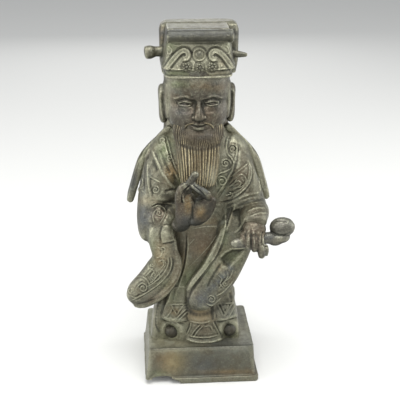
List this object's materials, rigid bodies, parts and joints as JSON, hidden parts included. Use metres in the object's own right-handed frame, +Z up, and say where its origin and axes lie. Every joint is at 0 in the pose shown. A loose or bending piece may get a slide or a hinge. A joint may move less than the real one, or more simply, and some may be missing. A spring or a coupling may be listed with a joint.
{
  "type": "bronze figure of a bearded court official",
  "caption": "Cast bronze figure of a bearded official in a tall court hat and wide-sleeved robe, one hand raised, the other on a short sceptre, standing on its plinth.",
  "frame": {"origin": "centre of the plinth's flat underside", "axes": "+Z up, the figure faces -Y, and its raised right hand is on the -X side"},
  "size_m": [0.1375, 0.1001, 0.3],
  "materials": {
    "patinated_bronze": "old cast bronze with a brown and olive patina, green in the hollows and rubbed paler along the raised edges"
  },
  "bodies": {
    "root": {"bronze_figure": "patinated_bronze"}
  },
  "joints": []
}
